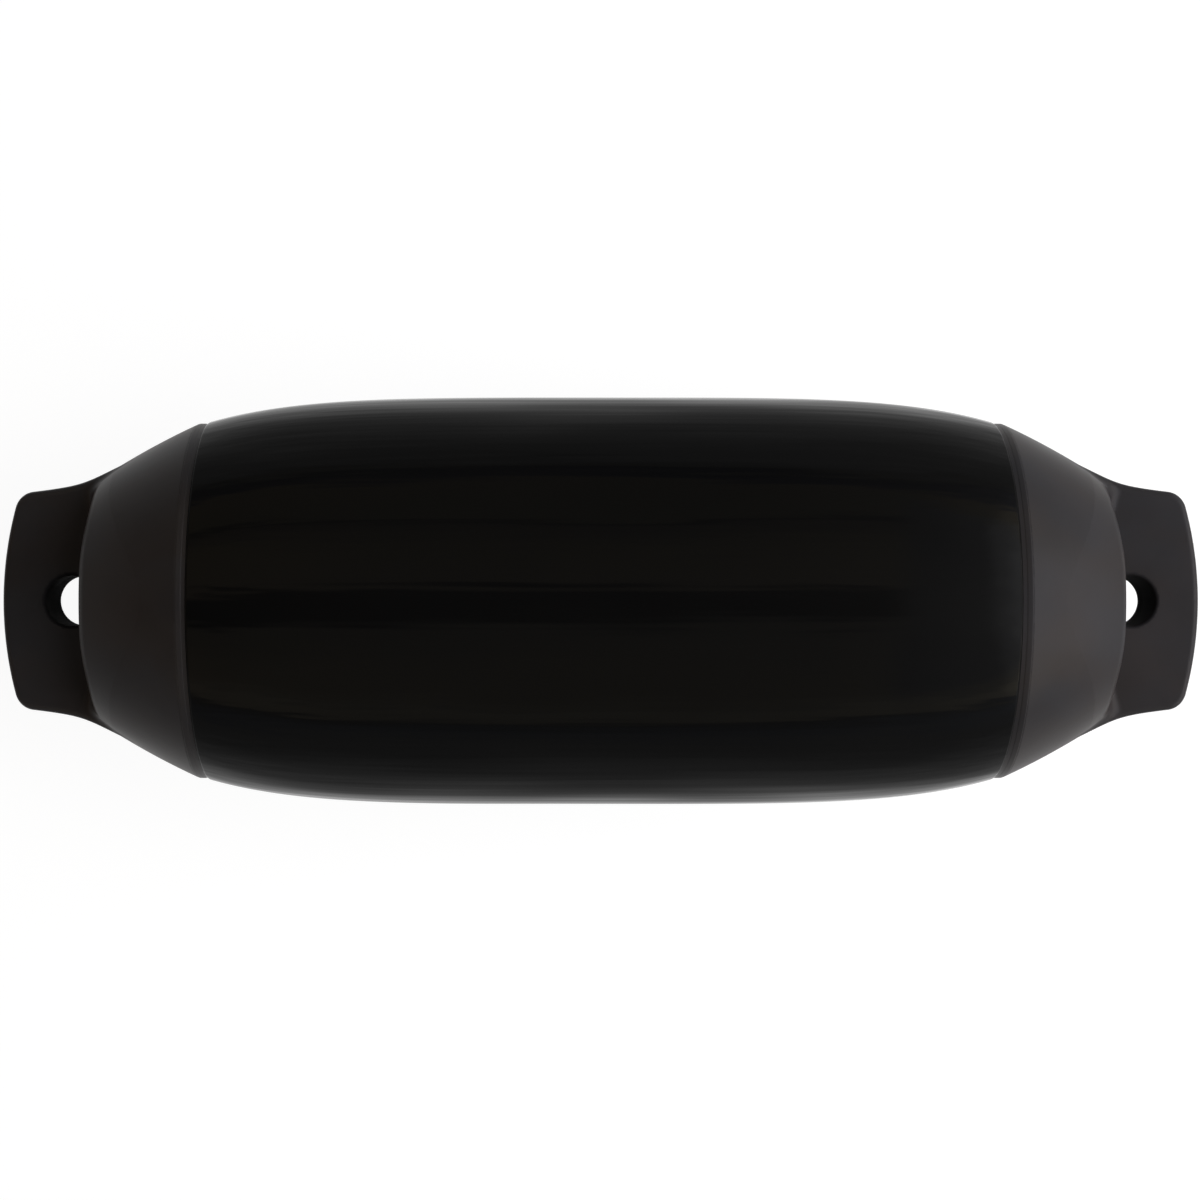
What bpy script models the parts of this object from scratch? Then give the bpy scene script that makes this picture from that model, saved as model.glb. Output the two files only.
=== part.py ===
# Twin-eye pneumatic boat fender, 22 cm by 64 cm, lying as it comes to rest.
# The hollow vinyl body is one rotational moulding: a swelling barrel, a parting groove, a
# conical shoulder and a solid flat lug with a rope eye at each end. An inflation valve sits
# in the shoulder of the +X end. Metres, +Z up, fender axis along X, lug faces level.

import math

import bmesh
import bpy
from mathutils import Matrix, Vector

MM = 0.001

# Overall size
LENGTH = 640 * MM
BODY_DIAMETER = 220 * MM
FLAT_WIDTH = 20 * MM

# Barrel and parting groove
END_LENGTH = 108 * MM
SEAM_DROP = 13.6 * MM
BARREL_POWER = 4.3
GROOVE_WIDTH = 1.6 * MM
GROOVE_DEPTH = 0.7 * MM
LIP_WIDTH = 3.0 * MM
LIP_DROP = 0.4 * MM

# Shoulder, rim and dished end wall
RIM_DIAMETER = 132.8 * MM
LUG_REACH = 50 * MM
SHOULDER_BULGE = 1.3 * MM
RIM_ROUND = 7.0 * MM
END_DISH = 2.6 * MM

# Lug
LUG_THICKNESS = 41 * MM
LUG_WIDTH = 117 * MM
LUG_EDGE_ROUND = 3.5 * MM
TIP_RADIUS = 194 * MM
CORNER_RADIUS = 11.6 * MM
FLANK_ROOT_IN = 19.5 * MM
FLANK_ROOT_DEPTH = 2.5 * MM
FLANK_ROOT_SLOPE = math.radians(25.7)
FLANK_TIP_SLOPE = math.radians(7)
FLANK_PULL = 0.52
ROOT_TUCK = 12 * MM

# Rope eye
EYE_DIAMETER = 27 * MM
EYE_FROM_TIP = 36.7 * MM
EYE_MOUTH_ROUND = 1.7 * MM

# Hollow
WALL = 3.5 * MM
END_WALL = 8 * MM
CAVITY_CORNER = 8 * MM

# Inflation valve
VALVE_FROM_SEAM = 26 * MM
VALVE_TURN = math.radians(122)
BOSS_DIAMETER = 26 * MM
BOSS_DEPTH = 9.5 * MM
BOSS_START = 2.2 * MM
FLANGE_DIAMETER = 20 * MM
FLANGE_THICKNESS = 1.8 * MM
FLANGE_SUNK = 0.9 * MM
SLEEVE_DIAMETER = 12 * MM
SLEEVE_LENGTH = 8.2 * MM
POCKET_DEPTH = 2.4 * MM
SCREW_HEAD_DIAMETER = 10 * MM
SCREW_HEAD_HEIGHT = 1.6 * MM
SCREW_DIAMETER = 5.2 * MM
SCREW_LENGTH = 9.0 * MM
SLOT_WIDTH = 1.4 * MM
SLOT_DEPTH = 0.9 * MM
WASHER_THICKNESS = 1.0 * MM
FIT_GAP = 0.3 * MM

# Fineness of the facets
BODY_STEPS = 80
CAVITY_STEPS = 40
EYE_STEPS = 32
VALVE_STEPS = 24
BARREL_ROWS = 8
SHOULDER_ROWS = 5
ARC_ROWS = 3
OUTLINE_STEPS = 8
CUT_OVERRUN = 1 * MM

# Sizes worked out from the values above
HALF_LENGTH = LENGTH / 2
BODY_RADIUS = BODY_DIAMETER / 2
AXIS_HEIGHT = math.sqrt(BODY_RADIUS**2 - (FLAT_WIDTH / 2) ** 2)
SEAM_AT = HALF_LENGTH - END_LENGTH
SEAM_RADIUS = BODY_RADIUS - SEAM_DROP
LIP_RADIUS = SEAM_RADIUS - LIP_DROP
RIM_AT = HALF_LENGTH - LUG_REACH
RIM_RADIUS = RIM_DIAMETER / 2
LIP_END = SEAM_AT + GROOVE_WIDTH / 2 + LIP_WIDTH
CAVITY_END = RIM_AT - END_WALL

MODEL = "pneumatic_fender"
CUTTERS = "fender_cutters"


def clear_scene():
    for obj in list(bpy.data.objects):
        bpy.data.objects.remove(obj)


def new_collection(name):
    collection = bpy.data.collections.new(name)
    bpy.context.scene.collection.children.link(collection)
    return collection


def material(name, colour, roughness, metallic=0.0):
    made = bpy.data.materials.new(name)
    made.use_nodes = True
    shader = made.node_tree.nodes["Principled BSDF"]
    shader.inputs["Base Color"].default_value = (*colour, 1.0)
    shader.inputs["Roughness"].default_value = roughness
    shader.inputs["Metallic"].default_value = metallic
    return made


def add_object(name, data, collection):
    obj = bpy.data.objects.new(name, data)
    collection.objects.link(obj)
    return obj


def as_cutter(obj):
    obj.hide_render = True
    obj.display_type = "WIRE"
    return obj


def boolean(target, other, operation):
    modifier = target.modifiers.new(other.name, "BOOLEAN")
    modifier.object = other
    modifier.operation = operation
    modifier.solver = "EXACT"


def turned(name, profile, steps, collection):
    """A solid of revolution about its own Z. The profile lists (radius, height) down its
    outer side, from axis to axis, or round to its first point again for a ring."""
    mesh = bpy.data.meshes.new(name)
    ring = profile[0] == profile[-1]
    corners = profile[:-1] if ring else profile
    points = [(radius, 0.0, height) for radius, height in corners]
    edges = [(i, i + 1) for i in range(len(points) - 1)]
    if ring:
        edges.append((len(points) - 1, 0))
    mesh.from_pydata(points, edges, [])
    obj = add_object(name, mesh, collection)
    screw = obj.modifiers.new("turn", "SCREW")
    screw.axis = "Z"
    screw.angle = math.tau
    screw.steps = steps
    screw.render_steps = steps
    screw.use_merge_vertices = True
    screw.merge_threshold = 0.00001
    screw.use_smooth_shade = True
    return obj


def arc(centre, radius, start, end, rows):
    """Points on a circle from one angle to another, both ends included."""
    angles = [start + (end - start) * i / rows for i in range(rows + 1)]
    return [(centre[0] + radius * math.cos(a), centre[1] + radius * math.sin(a)) for a in angles]


def barrel_radius(x):
    """Radius of the barrel, which swells from the seam to the middle."""
    fall = 1 - (SEAM_RADIUS / BODY_RADIUS) ** 2
    return BODY_RADIUS * math.sqrt(1 - fall * (abs(x) / SEAM_AT) ** BARREL_POWER)


def shoulder_radius(x):
    """Radius of the shoulder, a cone with a slight swell between the lip and the rim."""
    along = (x - LIP_END) / (RIM_AT - LIP_END)
    cone = LIP_RADIUS + (RIM_RADIUS - LIP_RADIUS) * along
    return cone + 4 * SHOULDER_BULGE * along * (1 - along)


def slope_at(radius_of, x):
    step = 0.1 * MM
    return (radius_of(x + step) - radius_of(x - step)) / (2 * step)


def rim_corner():
    """The rounded corner between the shoulder and the dished end wall."""
    fall = math.atan(-slope_at(shoulder_radius, RIM_AT))
    dish = math.atan(END_DISH / RIM_RADIUS)
    turn = math.pi / 2 + dish - fall
    setback = RIM_ROUND * math.tan(turn / 2)
    start_x = RIM_AT - setback * math.cos(fall)
    start_radius = RIM_RADIUS + setback * math.sin(fall)
    centre = (start_x - RIM_ROUND * math.sin(fall), start_radius - RIM_ROUND * math.cos(fall))
    return arc(centre, RIM_ROUND, math.pi / 2 - fall, -dish, ARC_ROWS)


def half_profile():
    """(x, radius) of the outside, from the middle of the barrel to the axis at one end."""
    half_groove = GROOVE_WIDTH / 2
    last = SEAM_AT - half_groove
    barrel = [last * math.sin(math.pi / 2 * i / BARREL_ROWS) for i in range(BARREL_ROWS + 1)]
    points = [(x, barrel_radius(x)) for x in barrel]
    points.append((SEAM_AT, LIP_RADIUS - GROOVE_DEPTH))
    points.append((SEAM_AT + half_groove, LIP_RADIUS))
    corner = rim_corner()
    reach = corner[0][0] - LIP_END
    shoulder = [LIP_END + reach * i / SHOULDER_ROWS for i in range(SHOULDER_ROWS)]
    points += [(x, shoulder_radius(x)) for x in shoulder]
    points += corner
    points.append((RIM_AT - END_DISH, 0.0))
    return points


def cavity_half_profile():
    """(x, radius) of the hollow: the outside less the wall, with a rounded end."""
    fall = math.atan(-slope_at(shoulder_radius, CAVITY_END))
    straight = CAVITY_END - CAVITY_CORNER * (1 - math.sin(fall))
    rows = BARREL_ROWS - 1
    points = []
    for i in range(rows + 1):
        x = straight * math.sin(math.pi / 2 * i / rows)
        outside = barrel_radius if x <= SEAM_AT else shoulder_radius
        lean = math.hypot(1, slope_at(outside, x))
        points.append((x, outside(x) - WALL * lean))
    end_radius = points[-1][1]
    centre = (straight - CAVITY_CORNER * math.sin(fall), end_radius - CAVITY_CORNER * math.cos(fall))
    points += arc(centre, CAVITY_CORNER, math.pi / 2 - fall, 0.0, ARC_ROWS)[1:]
    points.append((CAVITY_END, 0.0))
    return points


def both_ends(half):
    """A whole profile, top of the axis first, from the half on the +X side."""
    right = [(radius, x) for x, radius in reversed(half)]
    left = [(radius, -x) for x, radius in half[1:]]
    return right + left


def lay_along_x(obj):
    """Stands a turned solid's own axis along X at the height of the fender's axis."""
    obj.location = (0.0, 0.0, AXIS_HEIGHT)
    obj.rotation_euler = (0.0, math.pi / 2, 0.0)
    return obj


def polar(centre, radius, angle):
    return Vector((centre[0] + radius * math.cos(angle), centre[1] + radius * math.sin(angle)))


def lug_outline():
    """Points of one side of the lug's plan, root to tip, each with its two handles."""
    root_x = RIM_AT - FLANK_ROOT_IN
    root = Vector((root_x, shoulder_radius(root_x) - FLANK_ROOT_DEPTH))
    tip_centre = (HALF_LENGTH - TIP_RADIUS, 0.0)
    corner_y = LUG_WIDTH / 2 - CORNER_RADIUS * math.cos(FLANK_TIP_SLOPE)
    corner_x = tip_centre[0] + math.sqrt((TIP_RADIUS - CORNER_RADIUS) ** 2 - corner_y**2)
    tip_turn = math.atan2(corner_y, corner_x - tip_centre[0])
    flank_turn = math.pi / 2 - FLANK_TIP_SLOPE
    flank_end = polar((corner_x, corner_y), CORNER_RADIUS, flank_turn)
    tip_start = polar(tip_centre, TIP_RADIUS, tip_turn)

    pull = FLANK_PULL * (flank_end - root).length
    corner_pull = 4 / 3 * math.tan((flank_turn - tip_turn) / 4) * CORNER_RADIUS
    tip_pull = 4 / 3 * math.tan(tip_turn / 2) * TIP_RADIUS
    down_root = Vector((math.cos(FLANK_ROOT_SLOPE), -math.sin(FLANK_ROOT_SLOPE)))
    down_flank = Vector((math.cos(FLANK_TIP_SLOPE), -math.sin(FLANK_TIP_SLOPE)))
    down_tip = Vector((math.sin(tip_turn), -math.cos(tip_turn)))
    tuck = root + Vector((-ROOT_TUCK, -ROOT_TUCK))
    return [
        (tuck, tuck, tuck),
        (root, root, root + down_root * pull),
        (flank_end, flank_end - down_flank * pull, flank_end + down_flank * corner_pull),
        (tip_start, tip_start - down_tip * corner_pull, tip_start + down_tip * tip_pull),
    ]


def lug_curve(name, side, collection):
    """The lug's plan as a filled 2D curve with rounded edges."""
    curve = bpy.data.curves.new(name, "CURVE")
    curve.dimensions = "2D"
    curve.fill_mode = "BOTH"
    curve.resolution_u = OUTLINE_STEPS
    curve.extrude = LUG_THICKNESS / 2 - LUG_EDGE_ROUND
    curve.bevel_depth = LUG_EDGE_ROUND
    curve.bevel_resolution = 2
    curve.offset = -LUG_EDGE_ROUND
    upper = lug_outline()
    flip = Vector((1.0, -1.0))
    lower = [(point * flip, out * flip, into * flip) for point, into, out in reversed(upper)]
    spline = curve.splines.new("BEZIER")
    spline.bezier_points.add(len(upper) + len(lower) - 1)
    for knot, (point, into, out) in zip(spline.bezier_points, upper + lower):
        knot.handle_left_type = "FREE"
        knot.handle_right_type = "FREE"
        knot.co = (side * point.x, point.y, 0.0)
        knot.handle_left = (side * into.x, into.y, 0.0)
        knot.handle_right = (side * out.x, out.y, 0.0)
    spline.use_cyclic_u = True
    obj = add_object(name, curve, collection)
    obj.location = (0.0, 0.0, AXIS_HEIGHT)
    return obj


def curve_to_mesh(obj, collection):
    """Replaces a curve object with a welded mesh object at the same place."""
    bpy.context.view_layer.update()
    graph = bpy.context.evaluated_depsgraph_get()
    mesh = bpy.data.meshes.new_from_object(obj.evaluated_get(graph))
    welded = bmesh.new()
    welded.from_mesh(mesh)
    bmesh.ops.remove_doubles(welded, verts=welded.verts, dist=0.00001)
    bmesh.ops.recalc_face_normals(welded, faces=welded.faces)
    welded.to_mesh(mesh)
    welded.free()
    name = obj.name
    place = obj.matrix_world.copy()
    bpy.data.objects.remove(obj)
    made = add_object(name, mesh, collection)
    made.matrix_world = place
    return made


def box(name, size, centre, collection):
    mesh = bpy.data.meshes.new(name)
    built = bmesh.new()
    bmesh.ops.create_cube(built, size=1.0, matrix=Matrix.Diagonal((*size, 1.0)))
    built.to_mesh(mesh)
    built.free()
    obj = add_object(name, mesh, collection)
    obj.location = centre
    return obj


def eye_cutter(name, side, collection):
    """A bobbin: a straight bore whose two mouths flare into the lug's faces."""
    bore = EYE_DIAMETER / 2
    mouth = bore + EYE_MOUTH_ROUND
    face = LUG_THICKNESS / 2
    flare = arc((mouth, face - EYE_MOUTH_ROUND), EYE_MOUTH_ROUND, math.pi / 2, math.pi, ARC_ROWS)
    top = [(0.0, face + CUT_OVERRUN), (mouth, face + CUT_OVERRUN)] + flare
    profile = top + [(radius, -height) for radius, height in reversed(top)]
    obj = turned(name, profile, EYE_STEPS, collection)
    obj.location = (side * (HALF_LENGTH - EYE_FROM_TIP), 0.0, AXIS_HEIGHT)
    return obj


def floor_cutter(collection):
    """Takes the small flat that the body's own weight presses into its underside."""
    depth = 2 * (BODY_RADIUS - AXIS_HEIGHT) + CUT_OVERRUN
    size = (LENGTH, BODY_DIAMETER, depth)
    return box("cut_floor_flat", size, (0.0, 0.0, -depth / 2), collection)


def valve_place():
    """An empty on the shoulder's surface, its Z along the outward normal."""
    x = SEAM_AT + VALVE_FROM_SEAM
    out = Vector((0.0, math.sin(VALVE_TURN), math.cos(VALVE_TURN)))
    lean = -slope_at(shoulder_radius, x)
    normal = (out + Vector((lean, 0.0, 0.0))).normalized()
    empty = bpy.data.objects.new("valve_axis", None)
    bpy.data.collections[MODEL].objects.link(empty)
    empty.empty_display_size = FLANGE_DIAMETER
    empty.location = Vector((x, 0.0, AXIS_HEIGHT)) + out * shoulder_radius(x)
    empty.rotation_euler = normal.to_track_quat("Z", "Y").to_euler()
    return empty


def cylinder_profile(radius, top, bottom):
    return [(0.0, top), (radius, top), (radius, bottom), (0.0, bottom)]


def valve_boss(empty, collection):
    profile = cylinder_profile(BOSS_DIAMETER / 2, -BOSS_START, -BOSS_DEPTH)
    obj = turned("join_valve_boss", profile, VALVE_STEPS, collection)
    obj.parent = empty
    return obj


def valve_hole(empty, collection):
    """The spot face for the flange and the bore for the sleeve, in one stepped cutter."""
    face = FLANGE_DIAMETER / 2 + FIT_GAP
    bore = SLEEVE_DIAMETER / 2 + FIT_GAP
    floor = -FLANGE_SUNK - FIT_GAP
    top = FLANGE_THICKNESS + CUT_OVERRUN
    bottom = -BOSS_DEPTH - CUT_OVERRUN
    profile = [(0.0, top), (face, top), (face, floor), (bore, floor), (bore, bottom), (0.0, bottom)]
    obj = turned("cut_valve_hole", profile, VALVE_STEPS, collection)
    obj.parent = empty
    return obj


def make_shell(parts, cutters, empty):
    shell = lay_along_x(turned("fender_shell", both_ends(half_profile()), BODY_STEPS, parts))
    sides = (("left", -1), ("right", 1))
    for label, side in sides:
        lug = curve_to_mesh(lug_curve("join_lug_" + label, side, cutters), cutters)
        boolean(shell, as_cutter(lug), "UNION")
    for label, side in sides:
        boolean(shell, as_cutter(eye_cutter("cut_eye_" + label, side, cutters)), "DIFFERENCE")
    hollow = turned("cut_hollow", both_ends(cavity_half_profile()), CAVITY_STEPS, cutters)
    boolean(shell, as_cutter(lay_along_x(hollow)), "DIFFERENCE")
    boolean(shell, as_cutter(valve_boss(empty, cutters)), "UNION")
    boolean(shell, as_cutter(valve_hole(empty, cutters)), "DIFFERENCE")
    boolean(shell, as_cutter(floor_cutter(cutters)), "DIFFERENCE")
    shell.data.materials.append(material("black vinyl", (0.006, 0.006, 0.006), 0.2))
    return shell


def make_bushing(parts, empty):
    """The flanged bushing that is bonded into the shell's boss."""
    flange = FLANGE_DIAMETER / 2
    sleeve = SLEEVE_DIAMETER / 2
    pocket = SCREW_HEAD_DIAMETER / 2 + FIT_GAP
    bore = SCREW_DIAMETER / 2 + FIT_GAP
    top = FLANGE_THICKNESS - FLANGE_SUNK
    under = -FLANGE_SUNK
    end = under - SLEEVE_LENGTH
    floor = top - POCKET_DEPTH
    edge = 0.4 * FLANGE_THICKNESS
    outside = [
        (flange - edge, top),
        (flange, top - edge),
        (flange, under),
        (sleeve, under),
        (sleeve, end),
        (bore, end),
        (bore, floor),
        (pocket, floor),
        (pocket, top),
        (flange - edge, top),
    ]
    bushing = turned("valve_bushing", outside, VALVE_STEPS, parts)
    bushing.parent = empty
    bushing.data.materials.append(material("bushing black", (0.012, 0.012, 0.012), 0.35))
    return floor


def make_washer(parts, empty, floor):
    outer = SCREW_HEAD_DIAMETER / 2
    inner = SCREW_DIAMETER / 2 + FIT_GAP
    bottom = floor + FIT_GAP
    top = bottom + WASHER_THICKNESS
    ring = [(inner, top), (outer, top), (outer, bottom), (inner, bottom), (inner, top)]
    washer = turned("sealing_washer", ring, VALVE_STEPS, parts)
    washer.parent = empty
    washer.data.materials.append(material("washer rubber", (0.02, 0.02, 0.02), 0.7))
    return top


def make_screw(parts, cutters, empty, washer_top):
    """The slotted plug screw: a domed head on the washer and a shank down the bore."""
    head = SCREW_HEAD_DIAMETER / 2
    shank = SCREW_DIAMETER / 2
    under = washer_top + FIT_GAP
    top = under + SCREW_HEAD_HEIGHT
    end = under - SCREW_LENGTH
    point = 0.3 * SCREW_DIAMETER
    edge = 0.3 * SCREW_HEAD_HEIGHT
    profile = [
        (0.0, top),
        (head - 2 * edge, top),
        (head, top - edge),
        (head, under),
        (shank, under),
        (shank, end + point),
        (shank - point, end),
        (0.0, end),
    ]
    screw = turned("valve_screw", profile, VALVE_STEPS, parts)
    screw.parent = empty
    size = (SCREW_HEAD_DIAMETER + 2 * CUT_OVERRUN, SLOT_WIDTH, 2 * SLOT_DEPTH)
    slot = box("cut_screw_slot", size, (0.0, 0.0, top), cutters)
    slot.parent = empty
    boolean(screw, as_cutter(slot), "DIFFERENCE")
    screw.data.materials.append(material("screw black", (0.015, 0.015, 0.015), 0.4))


def main():
    clear_scene()
    parts = new_collection(MODEL)
    cutters = new_collection(CUTTERS)
    empty = valve_place()
    make_shell(parts, cutters, empty)
    floor = make_bushing(parts, empty)
    washer_top = make_washer(parts, empty, floor)
    make_screw(parts, cutters, empty, washer_top)


main()
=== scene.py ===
"""Looks of the pneumatic fender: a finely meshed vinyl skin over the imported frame, its
materials, a pale floor, soft studio light and a camera straight above, as in the photograph."""

import math

import bpy
import numpy as np
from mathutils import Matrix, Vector
from mathutils.geometry import interpolate_bezier


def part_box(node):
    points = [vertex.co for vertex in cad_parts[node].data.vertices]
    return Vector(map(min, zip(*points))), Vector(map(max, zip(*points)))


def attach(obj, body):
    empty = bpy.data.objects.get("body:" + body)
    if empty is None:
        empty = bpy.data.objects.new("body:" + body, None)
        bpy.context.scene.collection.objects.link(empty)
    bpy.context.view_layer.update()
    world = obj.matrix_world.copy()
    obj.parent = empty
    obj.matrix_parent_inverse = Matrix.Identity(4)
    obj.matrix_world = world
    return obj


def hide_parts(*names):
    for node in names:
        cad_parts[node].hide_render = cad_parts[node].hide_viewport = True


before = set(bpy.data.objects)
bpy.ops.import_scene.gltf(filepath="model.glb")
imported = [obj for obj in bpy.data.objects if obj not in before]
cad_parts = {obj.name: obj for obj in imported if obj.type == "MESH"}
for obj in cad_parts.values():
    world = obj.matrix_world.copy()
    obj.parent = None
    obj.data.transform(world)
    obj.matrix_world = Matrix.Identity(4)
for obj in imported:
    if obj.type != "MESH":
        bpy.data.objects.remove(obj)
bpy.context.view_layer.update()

MM = 0.001
TINY = 0.01 * MM
WHITE = (1.0, 1.0, 1.0)
BODY = "root"
SHELL = "fender_shell"

# Sizes that the frame gives
shell_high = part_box(SHELL)[1]
HALF_LENGTH = shell_high.x
BODY_RADIUS = shell_high.y
AXIS_Z = shell_high.z - BODY_RADIUS

# Barrel and parting groove, as in the part
SEAM_AT = HALF_LENGTH - 108 * MM
SEAM_RADIUS = BODY_RADIUS - 13.6 * MM
BARREL_POWER = 4.3
GROOVE_WIDTH = 1.6 * MM
GROOVE_DEPTH = 0.7 * MM
LIP_WIDTH = 3.0 * MM
LIP_RADIUS = SEAM_RADIUS - 0.4 * MM
LIP_END = SEAM_AT + GROOVE_WIDTH / 2 + LIP_WIDTH
MATTE_FROM = SEAM_AT + 0.2 * MM

# The barrel's rounded edge, and how far round it goes
EDGE_ROUND = 1.8 * MM
EDGE_TURN = 0.46 * math.pi
EDGE_STEPS = 8

# The groove's section: shares of the way across it and of the way up out of it
GROOVE_SHAPE = ((0.10, 0.05), (0.35, 0.0), (0.60, 0.10), (0.80, 0.45), (0.95, 0.82))
# The lip's section: how far past its start and short of its end, and how far below its top
LIP_START = ((0.2 * MM, 0.03 * MM), (0.6 * MM, 0.0))
LIP_FINISH = ((0.6 * MM, 0.0), (0.1 * MM, 0.02 * MM), (0.0, 0.12 * MM), (0.2 * MM, 0.8 * MM))

# Shoulder, rim and end wall
RIM_AT = HALF_LENGTH - 50 * MM
RIM_RADIUS = 66.4 * MM
SHOULDER_BULGE = 1.3 * MM
RIM_ROUND = 7.0 * MM
END_DISH = 2.6 * MM
TUCK = 0.15 * MM
NECK = 7 * MM

# Lens-shaped steeper field of each shoulder, above and below the lug and next to the rim: where
# it starts in the middle, how far out that moves to the sides and over what width, how much it
# tips at once and with each further metre, and the heights between which it fades in
LENS_AT = 235 * MM
LENS_SWEEP = 26 * MM
LENS_SCALE = 40 * MM
LENS_TIP = 0.085
LENS_CURL = 1.1
LENS_Z = (10 * MM, 30 * MM)

# The rim there: how much more it is rounded, how far it swells outwards over the eye, and the
# heights and widths between which the swelling comes and goes
RIM_SOFTER = 4 * MM
RIM_SWELL = 2.3 * MM
SWELL_Z = (28 * MM, 50 * MM)
SWELL_Y = (15 * MM, 50 * MM)

# Lug and eye
LUG_HALF = 20.5 * MM
LUG_HALF_WIDTH = 58.5 * MM
LUG_EDGE_ROUND = 3.5 * MM
TIP_RADIUS = 194 * MM
CORNER_RADIUS = 11.6 * MM
FLANK_ROOT_IN = 19.5 * MM
FLANK_ROOT_DEPTH = 2.5 * MM
FLANK_ROOT_SLOPE = math.radians(25.7)
FLANK_TIP_SLOPE = math.radians(7)
FLANK_PULL = 0.52
FLANK_SAMPLES = 64
EYE_RADIUS = 13.5 * MM
EYE_AT = HALF_LENGTH - 36.7 * MM
EYE_MOUTH_ROUND = 1.7 * MM
EYE_MARGIN = 0.1 * MM

# The crease where the lug leaves the body: distance from the middle, and fillet there
CREASE_FILLETS = ((14 * MM, 26 * MM, 40 * MM, 58 * MM), (1.4 * MM, 2.8 * MM, 4 * MM, 9 * MM))

# Valve pocket
VALVE_AT = SEAM_AT + 26 * MM
VALVE_TURN = math.radians(122)
POCKET_RADIUS = 10.5 * MM
POCKET_DEPTH = 1.3 * MM
BORE_RADIUS = 6.4 * MM
BORE_DEPTH = 12 * MM
VALVE_ROUND = 0.4 * MM

# Fineness
NET_STEP = 1.15 * MM
BARREL_STEPS = 256
BARREL_ROWS = 46
SKIN_WALL = 3.5 * MM
INNER_ROWS = slice(-6, None, -8)

# A fillet between two surfaces takes them as no more opposed and no more alike than this cosine
COSINES = (-0.95, 0.98)

# Settling the net: rounds, how far a point goes to its neighbours' middle, and steps back
SETTLE_ROUNDS = 4
SETTLE_SHARE = 0.5
SETTLE_STEPS = 3
LEAST_SLOPE = 0.25

# Gloss: low, because the vinyl stands before a white ground that the photograph's did not mirror
GLOSS_IOR = 1.09
MATTE_IOR = 1.15
EYE_IOR = 1.05
PLASTIC_IOR = 1.5

# Dark and light colour of each mottled material, and the noise values that they belong to
MOTTLE = (0.35, 0.65)
GLOSS_BLACK = ((0.0048, 0.0048, 0.0050), (0.0064, 0.0062, 0.0060))
WARM_BLACK = ((0.0275, 0.0240, 0.0242), (0.0350, 0.0312, 0.0318))
COOL_BLACK = ((0.0255, 0.0248, 0.0272), (0.0338, 0.0325, 0.0355))
# Painted shade in the eye's bore: far darker than the matte vinyl, standing in for the shade down in the
# recess
BORE_PAINTED_SHADE = ((0.003, 0.003, 0.003), (0.006, 0.006, 0.006))
MOUTH_BLACK = (0.030, 0.028, 0.030)

# The valve's nodes: material, dark and light colour, lowest and highest roughness
VALVE_LOOKS = {
    "valve_bushing": ("bushing_plastic", (0.010, 0.010, 0.011), (0.018, 0.018, 0.018), 0.30, 0.50),
    "valve_screw": ("screw_plastic", (0.014, 0.014, 0.014), (0.024, 0.024, 0.023), 0.35, 0.55),
    "sealing_washer": ("washer_rubber", (0.018, 0.018, 0.018), (0.030, 0.030, 0.030), 0.60, 0.80),
}

# Camera, worked out from the photograph's perspective
FRAME_PIXELS = 1200
PIXEL_SIZE = 0.5433 * MM
CAMERA_DISTANCE = 2330 * PIXEL_SIZE
PRINCIPAL_X = 550
CENTRE_Y = 600.8
SENSOR = 36.0

# Floor: half its side, how far below the part it lies, how pale it is as a source of light, and
# how pale it is shown, where most of its white is its own
FLOOR_HALF = 6.0
FLOOR_DROP = 0.2 * MM
FLOOR_LIT = (0.6, 0.6, 0.6)
FLOOR_SHOWN = (0.2, 0.2, 0.2)
GROUND_GLOW = 0.93

# Lamps: turn and rise in degrees and distance, size, power, colour, and if gloss mirrors them
LAMPS = {
    "key_right": ((0, 20, 1.25), (0.9, 0.6), 7.0, (1.0, 0.97, 0.99), True),
    "soft_top": ((0, 56, 1.8), (1.4, 1.4), 13.5, WHITE, False),
    "fill_left": ((180, 15, 1.4), (0.9, 0.6), 0.8, (1.0, 0.7, 0.45), True),
}

# World: the weak light on matte surfaces
WORLD_LIGHT = 0.08
# The ceiling that gloss mirrors, from the -Y horizon over the top to the +Y one
CEILING = (
    (0.000, (1.20, 1.30, 1.50)),
    (0.060, (0.90, 1.00, 1.20)),
    (0.098, (0.60, 0.60, 0.62)),
    (0.110, (2.20, 2.00, 1.60)),
    (0.150, (2.40, 2.20, 1.75)),
    (0.158, (1.50, 1.40, 1.20)),
    (0.166, (2.10, 1.90, 1.50)),
    (0.205, (1.75, 1.55, 1.20)),
    (0.420, (1.35, 1.25, 1.05)),
    (0.440, (0.60, 0.58, 0.55)),
    (0.452, (0.10, 0.10, 0.10)),
    (0.536, (0.12, 0.10, 0.12)),
    (0.550, (1.65, 1.42, 1.10)),
    (0.640, (1.60, 1.40, 1.00)),
    (0.742, (1.00, 0.90, 0.78)),
    (0.748, (0.30, 0.30, 0.30)),
    (0.757, (0.30, 0.30, 0.30)),
    (0.764, (1.30, 1.20, 0.90)),
    (0.890, (1.25, 1.10, 0.85)),
    (0.905, (0.50, 0.50, 0.62)),
    (0.940, (0.30, 0.32, 0.40)),
    (0.955, (0.75, 0.72, 0.60)),
    (0.975, (0.30, 0.32, 0.36)),
    (1.000, (0.80, 0.85, 0.90)),
)
# The plain panel in the ceiling's middle, and how far right and how high it begins
PLAIN_PANEL = (1.15, 1.15, 1.18)
PANEL_X = (0.26, 0.34)
PANEL_Z = (0.35, 0.55)
# The height at which white gives way to the ceiling
HORIZON_Z = (0.0, 0.22)
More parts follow.
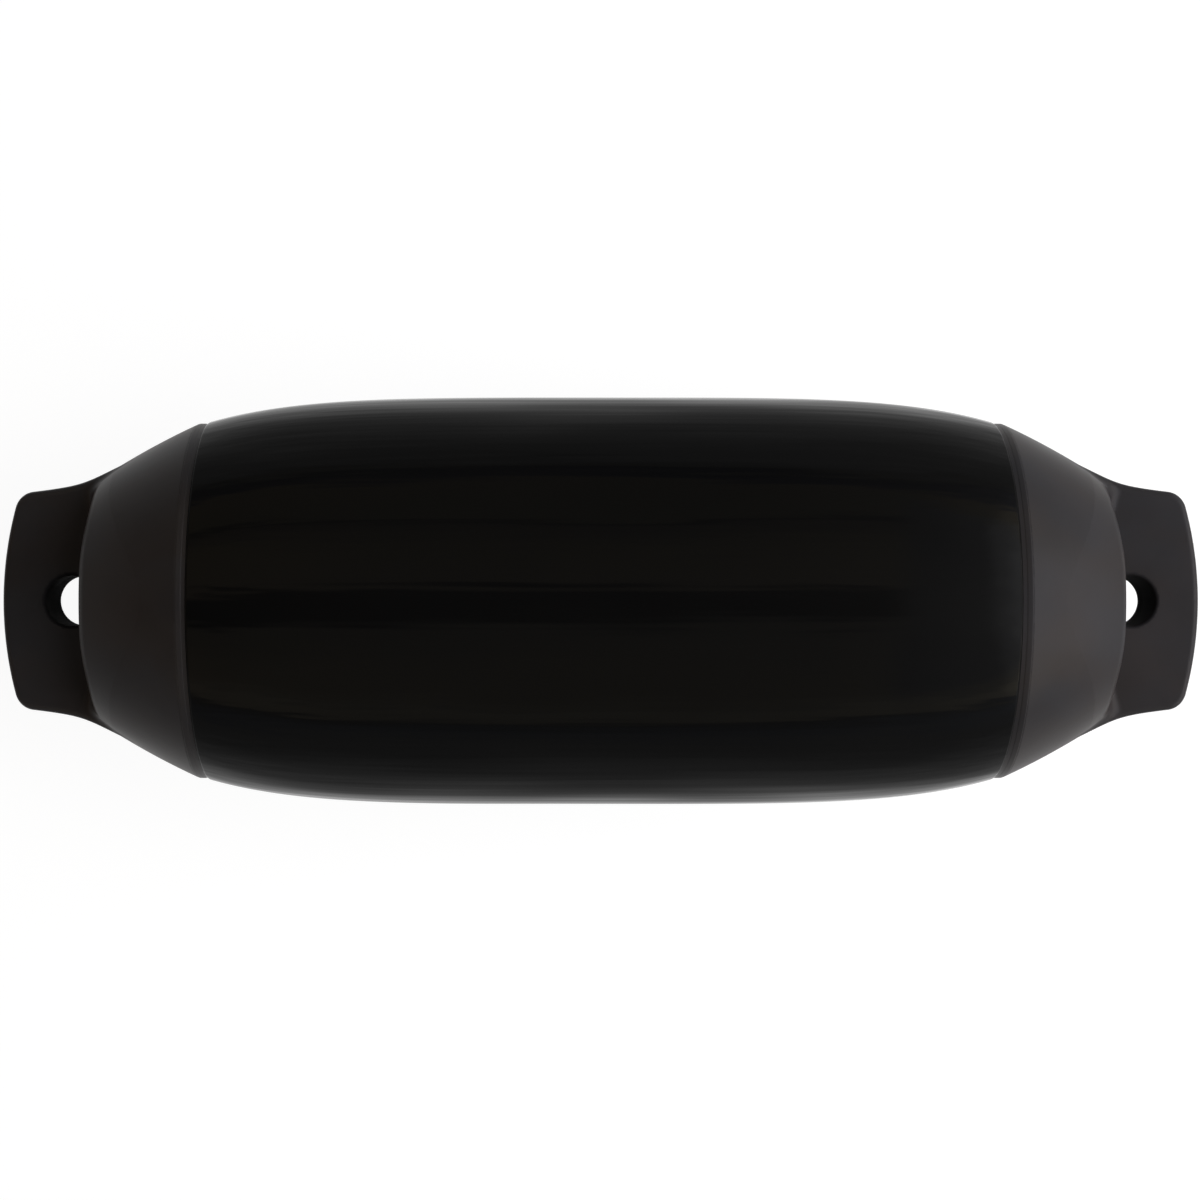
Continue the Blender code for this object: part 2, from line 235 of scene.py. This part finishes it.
# How bright the ceiling is, from the left end's side to the right end's
ALONG = (
    (0.00, (0.28, 0.20, 0.15)),
    (0.08, (0.16, 0.13, 0.11)),
    (0.16, (1.10, 1.02, 0.95)),
    (0.30, (1.00, 0.96, 0.92)),
    (0.50, (0.85, 0.85, 0.85)),
    (0.66, (1.00, 1.00, 1.00)),
    (0.77, (1.50, 1.50, 1.50)),
    (0.81, (3.60, 3.60, 3.60)),
    (0.85, (6.80, 6.80, 6.80)),
    (0.90, (2.60, 2.60, 2.60)),
    (0.95, (1.50, 1.50, 1.50)),
    (1.00, (1.00, 1.00, 1.00)),
)


def barrel_radius(x):
    fall = 1 - (SEAM_RADIUS / BODY_RADIUS) ** 2
    return BODY_RADIUS * np.sqrt(1 - fall * (np.abs(x) / SEAM_AT) ** BARREL_POWER)


def shoulder_radius(x):
    along = (x - LIP_END) / (RIM_AT - LIP_END)
    return LIP_RADIUS + (RIM_RADIUS - LIP_RADIUS) * along + 4 * SHOULDER_BULGE * along * (1 - along)


def shoulder_slope(x):
    along = (x - LIP_END) / (RIM_AT - LIP_END)
    return (RIM_RADIUS - LIP_RADIUS + 4 * SHOULDER_BULGE * (1 - 2 * along)) / (RIM_AT - LIP_END)


# A field is a pair: each point's signed distance, negative inside, and its gradient.

def inverse(field):
    return -field[0], -field[1]


def join(a, b, radius):
    """Union of two fields with a fillet of that radius, tangent to both at any angle."""
    cosine = np.clip((a[1] * b[1]).sum(0), *COSINES)
    square = 1 - cosine**2
    p, q = radius - a[0], radius - b[0]
    reach = np.sqrt(np.maximum(p * p + q * q - 2 * cosine * p * q, 1e-18) / square)
    soft = (p > cosine * q) & (q > cosine * p)
    nearer = a[0] < b[0]
    value = np.where(soft, radius - reach, np.where(nearer, a[0], b[0]))
    weight_a = np.where(soft, (p - cosine * q) / (square * reach), nearer)
    weight_b = np.where(soft, (q - cosine * p) / (square * reach), ~nearer)
    return value, weight_a * a[1] + weight_b * b[1]


def meet(a, b, radius):
    """Intersection of two fields with a rounded edge of that radius."""
    return inverse(join(inverse(a), inverse(b), radius))


def graph_field(offset, slope, side_x, side_y, side_z):
    """Distance from a wall whose place along one direction changes with x at that slope."""
    lean = np.sqrt(1 + slope**2)
    return offset / lean, np.stack([side_x - slope, side_y, side_z]) / lean


def smooth_step(low, high, value):
    """A smooth rise from 0 to 1, and its slope."""
    t = np.clip((value - low) / (high - low), 0, 1)
    return t * t * (3 - 2 * t), 6 * t * (1 - t) / (high - low)


def flank_curve():
    """(x, half width) samples along the lug's flank, on the part's own curve."""
    root_x = RIM_AT - FLANK_ROOT_IN
    root = Vector((root_x, shoulder_radius(root_x) - FLANK_ROOT_DEPTH))
    corner_y = LUG_HALF_WIDTH - CORNER_RADIUS * math.cos(FLANK_TIP_SLOPE)
    corner_x = HALF_LENGTH - TIP_RADIUS + math.sqrt((TIP_RADIUS - CORNER_RADIUS) ** 2 - corner_y**2)
    end = Vector((corner_x + CORNER_RADIUS * math.sin(FLANK_TIP_SLOPE), LUG_HALF_WIDTH))
    pull = FLANK_PULL * (end - root).length
    out_root = Vector((math.cos(FLANK_ROOT_SLOPE), -math.sin(FLANK_ROOT_SLOPE))) * pull
    in_end = Vector((math.cos(FLANK_TIP_SLOPE), -math.sin(FLANK_TIP_SLOPE))) * pull
    points = interpolate_bezier(root, root + out_root, end - in_end, end, FLANK_SAMPLES)
    beyond = end + in_end
    return np.array([point[:2] for point in points] + [beyond[:2]])


FLANK = flank_curve()
FLANK_SLOPES = np.gradient(FLANK[:, 1], FLANK[:, 0])


def lens(x, y, z):
    """How deep the lens-shaped field lies, that depth's slopes, and how much of it is there."""
    sweep_left = np.exp(-((y / LENS_SCALE) ** 2))
    past = np.maximum(x - LENS_AT - LENS_SWEEP * (1 - sweep_left), 0)
    depth = LENS_TIP * past + LENS_CURL * past**2
    tip = np.where(past > 0, LENS_TIP + 2 * LENS_CURL * past, 0.0)
    there, there_slope = smooth_step(*LENS_Z, np.abs(z))
    edge_slope = 2 * LENS_SWEEP / LENS_SCALE**2 * y * sweep_left
    slopes = there * tip, -there * tip * edge_slope, there_slope * depth * np.sign(z)
    return there * depth, slopes, there


def rim_swell(y, z):
    """How far the rim swells outwards over the eye, and that swelling's slopes along y and z."""
    over, over_slope = smooth_step(*SWELL_Z, np.abs(z))
    aside, aside_slope = smooth_step(*SWELL_Y, np.abs(y))
    slope_y = -RIM_SWELL * over * aside_slope * np.sign(y)
    slope_z = RIM_SWELL * over_slope * (1 - aside) * np.sign(z)
    return RIM_SWELL * over * (1 - aside), slope_y, slope_z


def body_field(x, y, z):
    """The neck, shoulder, rim and end wall of one end."""
    flat = 0.0 * x
    rho = np.maximum(np.hypot(y, z), TINY)
    in_lip = shoulder_radius(x) > LIP_RADIUS - TUCK
    radius = np.where(in_lip, LIP_RADIUS - TUCK, shoulder_radius(x))
    slope = np.where(in_lip, 0.0, shoulder_slope(x))
    depth, (depth_x, depth_y, depth_z), there = lens(x, y, z)
    cone = graph_field(rho - radius + depth, slope - depth_x, flat, y / rho + depth_y, z / rho + depth_z)
    swell, swell_y, swell_z = rim_swell(y, z)
    dish = END_DISH * np.maximum(1 - rho / RIM_RADIUS, 0)
    wall = graph_field(x - RIM_AT - swell + dish, 0.0, flat + 1, -swell_y, -swell_z)
    return meet(cone, wall, RIM_ROUND + RIM_SOFTER * there)


def lug_field(x, y, z):
    """The flat lug, without its eye."""
    flat = 0.0 * x
    half_width = np.interp(x, FLANK[:, 0], FLANK[:, 1])
    slope = np.interp(x, FLANK[:, 0], FLANK_SLOPES, left=0.0)
    flank = graph_field(np.abs(y) - half_width, slope, flat, np.sign(y), flat)
    from_centre = x - (HALF_LENGTH - TIP_RADIUS)
    turn = np.maximum(np.hypot(from_centre, y), TINY)
    tip = turn - TIP_RADIUS, np.stack([from_centre / turn, y / turn, flat])
    face = np.abs(z) - LUG_HALF, np.stack([flat, flat, np.sign(z)])
    return meet(face, meet(flank, tip, CORNER_RADIUS), LUG_EDGE_ROUND)


def valve_frame():
    """Place and outward direction of the valve on the shoulder, about the fender's axis."""
    out = np.array([0.0, math.sin(VALVE_TURN), math.cos(VALVE_TURN)])
    normal = out + np.array([-shoulder_slope(VALVE_AT), 0.0, 0.0])
    place = np.array([VALVE_AT, 0.0, 0.0]) + out * shoulder_radius(VALVE_AT)
    return place, normal / np.linalg.norm(normal)


def valve_field(x, y, z):
    """The pocket and the bore that the valve bushing sits in."""
    place, normal = valve_frame()
    offset = np.stack([x, y, z]) - place[:, None]
    depth = normal @ offset
    across = offset - normal[:, None] * depth
    reach = np.maximum(np.linalg.norm(across, axis=0), TINY)
    outward = across / reach
    down = np.broadcast_to(-normal[:, None], outward.shape)
    pocket = meet((reach - POCKET_RADIUS, outward), (-depth - POCKET_DEPTH, down), VALVE_ROUND)
    bore = meet((reach - BORE_RADIUS, outward), (-depth - BORE_DEPTH, down), VALVE_ROUND)
    return join(pocket, bore, VALVE_ROUND)


def end_field(x, y, z, with_valve):
    """The whole end, with x running outward from the middle and the axis at y = z = 0."""
    flat = 0.0 * x
    fillet = np.interp(np.abs(y), *CREASE_FILLETS)
    turn = np.maximum(np.hypot(x - EYE_AT, y), TINY)
    around_eye = EYE_RADIUS - turn, np.stack([(EYE_AT - x) / turn, -y / turn, flat])
    solid = join(body_field(x, y, z), meet(lug_field(x, y, z), around_eye, EYE_MOUTH_ROUND), fillet)
    if with_valve:
        solid = meet(solid, inverse(valve_field(x, y, z)), VALVE_ROUND)
    start = LIP_END - NECK - x, np.stack([flat - 1, flat, flat])
    return meet(solid, start, VALVE_ROUND)


CORNERS = np.array([(i, j, k) for i in (0, 1) for j in (0, 1) for k in (0, 1)])
EDGES = [(a, b) for a in range(8) for b in range(a + 1, 8) if abs(CORNERS[a] - CORNERS[b]).sum() == 1]


def net_cells(values, low, step):
    """One vertex in each grid cell that the surface crosses, and the cells' numbers."""
    inside = values < 0
    blocks = [inside[i:i - 1 or None, j:j - 1 or None, k:k - 1 or None] for i, j, k in CORNERS]
    count = sum(block.astype(np.int8) for block in blocks)
    cells = np.argwhere((count > 0) & (count < 8))
    at = [tuple((cells + corner).T) for corner in CORNERS]
    total = np.zeros((len(cells), 3))
    hits = np.zeros(len(cells))
    for a, b in EDGES:
        value_a, value_b = values[at[a]], values[at[b]]
        crossed = (value_a < 0) != (value_b < 0)
        part = np.where(crossed, value_a / np.where(crossed, value_a - value_b, 1), 0)
        total += crossed[:, None] * (CORNERS[a] + part[:, None] * (CORNERS[b] - CORNERS[a]))
        hits += crossed
    number = np.full(np.array(values.shape) - 1, -1)
    number[tuple(cells.T)] = np.arange(len(cells))
    return low + step * (cells + total / hits[:, None]), number


def net_quads(values, number):
    """A quad across each grid edge that the surface crosses, facing out."""
    inside = values < 0
    quads = []
    for axis in range(3):
        b, c = (axis + 1) % 3, (axis + 2) % 3
        low_end = np.moveaxis(inside, axis, 0)[:-1]
        high_end = np.moveaxis(inside, axis, 0)[1:]
        crossed = np.moveaxis(low_end != high_end, 0, axis)
        edges = np.argwhere(crossed)
        unit = np.eye(3, dtype=int)
        ring = [edges, edges - unit[b], edges - unit[b] - unit[c], edges - unit[c]]
        quad = np.stack([number[tuple(cell.T)] for cell in ring], axis=1)
        leaving = inside[tuple(edges.T)]
        quads.append(np.where(leaving[:, None], quad, quad[:, ::-1]))
    return np.concatenate(quads)


def settle(points, quads, field):
    """Evens the net out and puts its points on the surface; gives them and their normals."""
    pairs = np.concatenate([quads[:, [i, (i + 1) % 4]] for i in range(4)])
    share = np.bincount(pairs[:, 0], minlength=len(points))
    for _ in range(SETTLE_ROUNDS):
        mean = [np.bincount(pairs[:, 0], points[pairs[:, 1], i], len(points)) / share for i in range(3)]
        points = points + SETTLE_SHARE * (np.stack(mean, axis=1) - points)
        for _ in range(SETTLE_STEPS):
            value, slope = field(*points.T)
            move = -value * slope / np.maximum((slope**2).sum(0), LEAST_SLOPE)
            points = points + np.clip(move.T, -NET_STEP / 2, NET_STEP / 2)
    slope = field(*points.T)[1]
    return points, (slope / np.linalg.norm(slope, axis=0)).T


def surface_net(field, low, high, step):
    """A closed quad mesh of the surface where the field is zero, and its points' normals."""
    xs, ys, zs = [np.arange(a - 2.5 * step, b + 2.5 * step, step) for a, b in zip(low, high)]
    y, z = [part.ravel() for part in np.meshgrid(ys, zs, indexing="ij")]
    planes = [field(np.full(y.shape, x), y, z)[0].reshape(len(ys), len(zs)) for x in xs]
    points, number = net_cells(np.stack(planes), np.array([xs[0], ys[0], zs[0]]), step)
    quads = net_quads(np.stack(planes), number)
    points, normals = settle(points, quads, field)
    return points, quads, normals


def add_mesh(name, points, faces, normals=None):
    mesh = bpy.data.meshes.new(name)
    mesh.from_pydata(points.tolist(), [], faces.tolist())
    mesh.shade_smooth()
    if normals is not None:
        mesh.normals_split_custom_set_from_vertices(normals.tolist())
    obj = bpy.data.objects.new(name, mesh)
    bpy.context.scene.collection.objects.link(obj)
    return obj


def end_piece(name, side):
    """The matte shoulder and lug at one end, side +1 or -1 along X."""
    low = (LIP_END - NECK, -SEAM_RADIUS, -SEAM_RADIUS)
    high = (HALF_LENGTH, SEAM_RADIUS, SEAM_RADIUS)
    field = lambda x, y, z: end_field(x, y, z, side > 0)
    points, quads, normals = surface_net(field, low, high, NET_STEP)
    middle = points[quads].mean(axis=1)
    # Faces down in the eye's bore, which take the eye material with its painted shade
    near_bore = np.hypot(middle[:, 0] - EYE_AT, middle[:, 1]) < EYE_RADIUS + EYE_MOUTH_ROUND
    in_eye = near_bore & (np.abs(middle[:, 2]) < LUG_HALF + EYE_MARGIN)
    flip = (side, 1, 1)
    points = points * flip + (0, 0, AXIS_Z)
    piece = add_mesh(name, points, quads if side > 0 else quads[:, ::-1], normals * flip)
    return piece, in_eye.astype(np.int32)


def rounded_edge(start):
    """(x, radius) from there round the barrel's edge and down to the groove."""
    radius = float(barrel_radius(start))
    lean = math.atan((float(barrel_radius(start - MM)) - radius) / MM)
    centre_x = start - EDGE_ROUND * math.sin(lean)
    centre_radius = radius - EDGE_ROUND * math.cos(lean)
    turns = np.linspace(lean, EDGE_TURN, EDGE_STEPS)[1:]
    return [(centre_x + EDGE_ROUND * math.sin(turn), centre_radius + EDGE_ROUND * math.cos(turn))
            for turn in turns]


def barrel_profile():
    """(x, radius) of the barrel's skin on the +X side: swell, edge, groove, lip, then back inside."""
    last = SEAM_AT - GROOVE_WIDTH / 2 - EDGE_ROUND
    xs = last * np.sin(np.linspace(0, math.pi / 2, BARREL_ROWS))
    outside = [(x, float(barrel_radius(x))) for x in xs]
    edge = rounded_edge(last)
    foot = edge[-1][0]
    floor = LIP_RADIUS - GROOVE_DEPTH
    lip = SEAM_AT + GROOVE_WIDTH / 2
    groove = [(foot + across * (lip - foot), floor + up * GROOVE_DEPTH) for across, up in GROOVE_SHAPE]
    top = [(lip + past, LIP_RADIUS - below) for past, below in LIP_START]
    top += [(LIP_END - short, LIP_RADIUS - below) for short, below in LIP_FINISH]
    inner = [(x, float(barrel_radius(x)) - SKIN_WALL) for x in xs[INNER_ROWS]]
    return outside + edge + groove + top + [(SEAM_AT, floor - SKIN_WALL)] + inner


def barrel_piece(name):
    """The glossy barrel, turned from its profile, with the flat that it rests on."""
    half = barrel_profile()
    turns = np.linspace(0, 2 * math.pi, BARREL_STEPS, endpoint=False)
    mirrored = [(-x, radius) for x, radius in reversed(half) if x > TINY]
    # The half profile starts at the outside's middle and ends on the inside, so the ring
    # runs round the +X end, along the inside and round the -X end.
    ring = np.array(half + mirrored)
    x = np.repeat(ring[:, 0], BARREL_STEPS)
    radius = np.repeat(ring[:, 1], BARREL_STEPS)
    angle = np.tile(turns, len(ring))
    y = radius * np.sin(angle)
    z = AXIS_Z + radius * np.cos(angle)
    outer = radius > BODY_RADIUS - SKIN_WALL
    z = np.where(outer, np.maximum(z, 0.0), z)
    points = np.stack([x, y, z], axis=1)
    row = np.arange(len(ring))[:, None]
    column = np.arange(BARREL_STEPS)[None, :]
    next_row = (row + 1) % len(ring)
    next_column = (column + 1) % BARREL_STEPS
    corners = [row * BARREL_STEPS + column, row * BARREL_STEPS + next_column,
               next_row * BARREL_STEPS + next_column, next_row * BARREL_STEPS + column]
    quads = np.stack([c.reshape(-1) for c in corners], axis=1)
    beyond = np.abs(points[quads, 0].mean(axis=1)) > MATTE_FROM
    return add_mesh(name, points, quads), beyond.astype(np.int32)


class Tree:
    """Short calls for building a node tree."""

    def __init__(self, tree):
        self.tree = tree

    def feed(self, socket, value):
        """Links the value to the socket, or sets it there if it is a number or a colour."""
        if isinstance(value, bpy.types.NodeSocket):
            self.tree.links.new(value, socket)
        else:
            socket.default_value = (*value, 1.0) if socket.type == "RGBA" else value

    def add(self, kind, inputs=None, **settings):
        node = self.tree.nodes.new(kind)
        for key, value in settings.items():
            setattr(node, key, value)
        for key, value in (inputs or {}).items():
            self.feed(node.inputs[key], value)
        return node

    def math(self, kind, *values):
        return self.add("ShaderNodeMath", dict(enumerate(values)), operation=kind).outputs[0]

    def spread(self, value, low, high, to_low=0.0, to_high=1.0, curve="LINEAR"):
        """The value's range from low to high, spread over another range."""
        ends = {"Value": value, "From Min": low, "From Max": high, "To Min": to_low, "To Max": to_high}
        return self.add("ShaderNodeMapRange", ends, interpolation_type=curve).outputs["Result"]

    def mix(self, factor, a, b):
        return self.add("ShaderNodeMix", {"Factor": factor, 6: a, 7: b}, data_type="RGBA").outputs[2]

    def ramp(self, place, stops):
        node = self.add("ShaderNodeValToRGB", {"Fac": place})
        node.color_ramp.interpolation = "EASE"
        elements = node.color_ramp.elements
        elements.remove(elements[-1])
        for i, (position, colour) in enumerate(stops):
            element = elements[0] if i == 0 else elements.new(position)
            element.position = position
            element.color = (*colour, 1.0)
        return node.outputs["Color"]

    def shader(self, kind, **inputs):
        return self.add(kind, inputs).outputs[0]

    def choose(self, factor, a, b):
        """The first shader where the factor is 0, and the second where it is 1."""
        return self.add("ShaderNodeMixShader", {0: factor, 1: a, 2: b}).outputs[0]

    def mirror_or_camera(self):
        """1 for a ray that the camera sees, straight or by way of a mirror or glass, else 0."""
        rays = self.add("ShaderNodeLightPath")
        total = rays.outputs["Is Camera Ray"]
        for name in ("Is Glossy Ray", "Is Transmission Ray"):
            total = self.math("MAXIMUM", total, rays.outputs[name])
        return total

    def show(self, shader, output):
        self.tree.links.new(shader, self.tree.nodes[output].inputs["Surface"])


class Material(Tree):
    """The node tree of a new material."""

    def __init__(self, name):
        self.material = bpy.data.materials.new(name)
        self.material.use_nodes = True
        super().__init__(self.material.node_tree)
        self.place = self.add("ShaderNodeTexCoord").outputs["Object"]

    def stretched(self, scale):
        """The object's coordinates, stretched."""
        return self.add("ShaderNodeMapping", {"Vector": self.place, "Scale": scale}).outputs["Vector"]

    def noise(self, vector, scale, detail, roughness=0.5):
        inputs = {"Vector": vector, "Scale": scale, "Detail": detail, "Roughness": roughness}
        return self.add("ShaderNodeTexNoise", inputs).outputs["Fac"]

    def mottle(self, value, colours):
        """Runs from the first colour to the second with a noise value."""
        return self.mix(self.spread(value, *MOTTLE), *colours)

    def bump(self, height, strength, distance, under=None):
        inputs = {"Height": height, "Strength": strength, "Distance": distance}
        if under is not None:
            inputs["Normal"] = under
        return self.add("ShaderNodeBump", inputs).outputs["Normal"]

    def finish(self, **values):
        """Sets the shader's sockets, which the keys name, and gives the material."""
        shader = self.tree.nodes["Principled BSDF"]
        for key, value in values.items():
            self.feed(shader.inputs[key.replace("_", " ")], value)
        return self.material


def gloss_vinyl():
    """The barrel's black vinyl, with a faint swell and ripple along it and a fine orange peel."""
    n = Material("gloss_vinyl")
    colour = n.mottle(n.noise(n.stretched((4.0, 9.0, 9.0)), 1.0, 3.0), GLOSS_BLACK)
    streak = n.noise(n.stretched((6.0, 60.0, 60.0)), 1.0, 5.0, 0.6)
    swell = n.noise(n.stretched((7.0, 15.0, 15.0)), 1.0, 1.0)
    ripple = n.noise(n.stretched((4.0, 90.0, 90.0)), 1.0, 2.0)
    peel = n.noise(n.place, 420.0, 2.0)
    normal = n.bump(swell, 1.0, 0.0040)
    normal = n.bump(ripple, 1.0, 0.0004, normal)
    normal = n.bump(peel, 0.12, 0.00006, normal)
    rough = n.spread(streak, 0.3, 0.7, 0.07, 0.14)
    return n.finish(Base_Color=colour, Roughness=rough, Normal=normal, IOR=GLOSS_IOR)


def matte_vinyl():
    """The ends' duller vinyl, which turns from a warm to a cool black in soft patches."""
    n = Material("matte_vinyl")
    cloud = n.noise(n.place, 14.0, 5.0)
    hue = n.noise(n.stretched((11.0, 17.0, 17.0)), 1.0, 3.0)
    warm, cool = n.mottle(cloud, WARM_BLACK), n.mottle(cloud, COOL_BLACK)
    colour = n.mix(n.spread(hue, 0.42, 0.58), warm, cool)
    normal = n.bump(n.noise(n.place, 60.0, 3.0), 0.15, 0.0004)
    normal = n.bump(n.noise(n.place, 900.0, 3.0, 0.6), 0.25, 0.00008, normal)
    rough = n.spread(cloud, 0.3, 0.7, 0.32, 0.44)
    return n.finish(Base_Color=colour, Roughness=rough, Normal=normal, IOR=MATTE_IOR)


def eye_vinyl_painted_shade():
    """Painted shade: dark down in the bore, and the matte vinyl's own colour where its mouth meets the
    face.
    """
    n = Material("eye_vinyl_painted_shade")
    cloud = n.noise(n.place, 90.0, 4.0)
    height = n.add("ShaderNodeSeparateXYZ", {0: n.place}).outputs["Z"]
    from_axis = n.math("ABSOLUTE", n.math("SUBTRACT", height, AXIS_Z))
    # Painted shade: the colour runs from the matte vinyl's own at the lug face to near black deeper in
    # the bore
    mouth = n.spread(from_axis, LUG_HALF - 1.6 * EYE_MOUTH_ROUND, LUG_HALF)
    colour = n.mix(mouth, n.mottle(cloud, BORE_PAINTED_SHADE), MOUTH_BLACK)
    rough = n.spread(cloud, 0.3, 0.7, 0.75, 0.9)
    return n.finish(Base_Color=colour, Roughness=rough, Normal=n.bump(cloud, 0.3, 0.0003), IOR=EYE_IOR)


def plastic(name, dark, light, low_rough, high_rough):
    """A cloudy material with a fine grain, for the small pieces of the valve."""
    n = Material(name)
    cloud = n.noise(n.place, 180.0, 4.0)
    colour = n.mottle(cloud, (dark, light))
    rough = n.spread(cloud, 0.3, 0.7, low_rough, high_rough)
    grain = n.bump(n.noise(n.place, 1500.0, 2.0), 0.2, 0.00005)
    return n.finish(Base_Color=colour, Roughness=rough, Normal=grain, IOR=PLASTIC_IOR)


def dress(obj, materials, numbers=None):
    """Gives the object its materials, and each face the number of its own."""
    obj.data.materials.clear()
    for material in materials:
        obj.data.materials.append(material)
    if numbers is not None:
        obj.data.polygons.foreach_set("material_index", numbers)


def stand_for_shell(piece):
    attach(piece, BODY)
    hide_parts(SHELL)


def make_floor():
    """A white floor that keeps the shadow; as a source of light it is plain and dimmer."""
    half = FLOOR_HALF
    points = np.array([(-half, -half, 0), (half, -half, 0), (half, half, 0), (-half, half, 0)], float)
    floor = add_mesh("floor", points, np.array([[0, 1, 2, 3]]))
    floor.location.z = -FLOOR_DROP
    n = Material("floor_white")
    n.tree.nodes.remove(n.tree.nodes["Principled BSDF"])
    lit = n.shader("ShaderNodeBsdfDiffuse", Color=FLOOR_LIT)
    shown = n.shader("ShaderNodeBsdfDiffuse", Color=FLOOR_SHOWN)
    glow = n.shader("ShaderNodeEmission", Strength=GROUND_GLOW)
    white = n.add("ShaderNodeAddShader", {0: shown, 1: glow}).outputs[0]
    n.show(n.choose(n.mirror_or_camera(), lit, white), "Material Output")
    dress(floor, [n.material])


def mirrored_colour(n):
    """What gloss mirrors: white near the horizon, and softly banded panels overhead."""
    coords = n.add("ShaderNodeTexCoord").outputs["Generated"]
    x, y, z = n.add("ShaderNodeSeparateXYZ", {0: coords}).outputs
    # The angle about X, from 0 at the -Y horizon over 0.5 straight up to 1 at the +Y one
    turn = n.math("MULTIPLY_ADD", n.math("ARCTAN2", y, z), 1 / math.pi, 0.5)
    panels = n.ramp(turn, CEILING)
    to_right = n.spread(x, *PANEL_X, curve="SMOOTHSTEP")
    overhead = n.spread(z, *PANEL_Z, curve="SMOOTHSTEP")
    panels = n.mix(n.math("MULTIPLY", to_right, overhead), panels, PLAIN_PANEL)
    along = n.ramp(n.math("MULTIPLY_ADD", x, 0.5, 0.5), ALONG)
    ceiling = n.add("ShaderNodeVectorMath", {0: panels, 1: along}, operation="MULTIPLY").outputs["Vector"]
    return n.mix(n.spread(z, *HORIZON_Z, curve="SMOOTHSTEP"), WHITE, ceiling)


def make_world():
    """Plain weak light for matte surfaces, white for the camera and a dim studio for mirrors."""
    world = bpy.data.worlds.new("studio")
    bpy.context.scene.world = world
    world.use_nodes = True
    n = Tree(world.node_tree)
    n.tree.nodes.remove(n.tree.nodes["Background"])
    soft = n.shader("ShaderNodeBackground", Color=WHITE, Strength=WORLD_LIGHT)
    plain = n.shader("ShaderNodeBackground", Color=WHITE)
    mirrored = n.shader("ShaderNodeBackground", Color=mirrored_colour(n))
    camera_ray = n.add("ShaderNodeLightPath").outputs["Is Camera Ray"]
    seen = n.choose(camera_ray, mirrored, plain)
    n.show(n.choose(n.mirror_or_camera(), soft, seen), "World Output")


def area_light(name, place, size, power, colour):
    """A rectangular lamp that faces the fender's middle."""
    light = bpy.data.lights.new(name, "AREA")
    light.shape = "RECTANGLE"
    light.size, light.size_y = size
    light.energy = power
    light.color = colour
    obj = bpy.data.objects.new(name, light)
    bpy.context.scene.collection.objects.link(obj)
    obj.location = place
    aim = Vector((0.0, 0.0, AXIS_Z)) - Vector(place)
    obj.rotation_euler = aim.to_track_quat("-Z", "Y").to_euler()
    return obj


def lamp_place(turn, raised, reach):
    """A place that far from the fender, turned about +Z from +X and raised, in degrees."""
    turn, raised = math.radians(turn), math.radians(raised)
    level = reach * math.cos(raised)
    return level * math.cos(turn), level * math.sin(turn), AXIS_Z + reach * math.sin(raised)


def make_lights():
    for name, (spot, size, power, colour, mirrored) in LAMPS.items():
        lamp = area_light(name, lamp_place(*spot), size, power, colour)
        lamp.visible_glossy = mirrored


def make_camera():
    data = bpy.data.cameras.new("camera")
    data.sensor_width = SENSOR
    data.lens = SENSOR * CAMERA_DISTANCE / (FRAME_PIXELS * PIXEL_SIZE)
    data.shift_x = (FRAME_PIXELS / 2 - PRINCIPAL_X) / FRAME_PIXELS
    camera = bpy.data.objects.new("camera", data)
    bpy.context.scene.collection.objects.link(camera)
    x = (PRINCIPAL_X - FRAME_PIXELS / 2) * PIXEL_SIZE
    y = (CENTRE_Y - FRAME_PIXELS / 2) * PIXEL_SIZE
    camera.location = (x, y, AXIS_Z + CAMERA_DISTANCE)
    bpy.context.scene.camera = camera


def make_pieces():
    gloss, matte, eye = gloss_vinyl(), matte_vinyl(), eye_vinyl_painted_shade()
    barrel, beyond = barrel_piece("barrel_skin")
    dress(barrel, [gloss, matte], beyond)
    stand_for_shell(barrel)
    for label, side in (("left", -1), ("right", 1)):
        end, in_eye = end_piece("end_" + label, side)
        dress(end, [matte, eye], in_eye)
        stand_for_shell(end)
    for node, look in VALVE_LOOKS.items():
        dress(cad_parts[node], [plastic(*look)])


make_camera()
make_pieces()
make_floor()
make_world()
make_lights()
bpy.context.scene.view_settings.view_transform = "Standard"
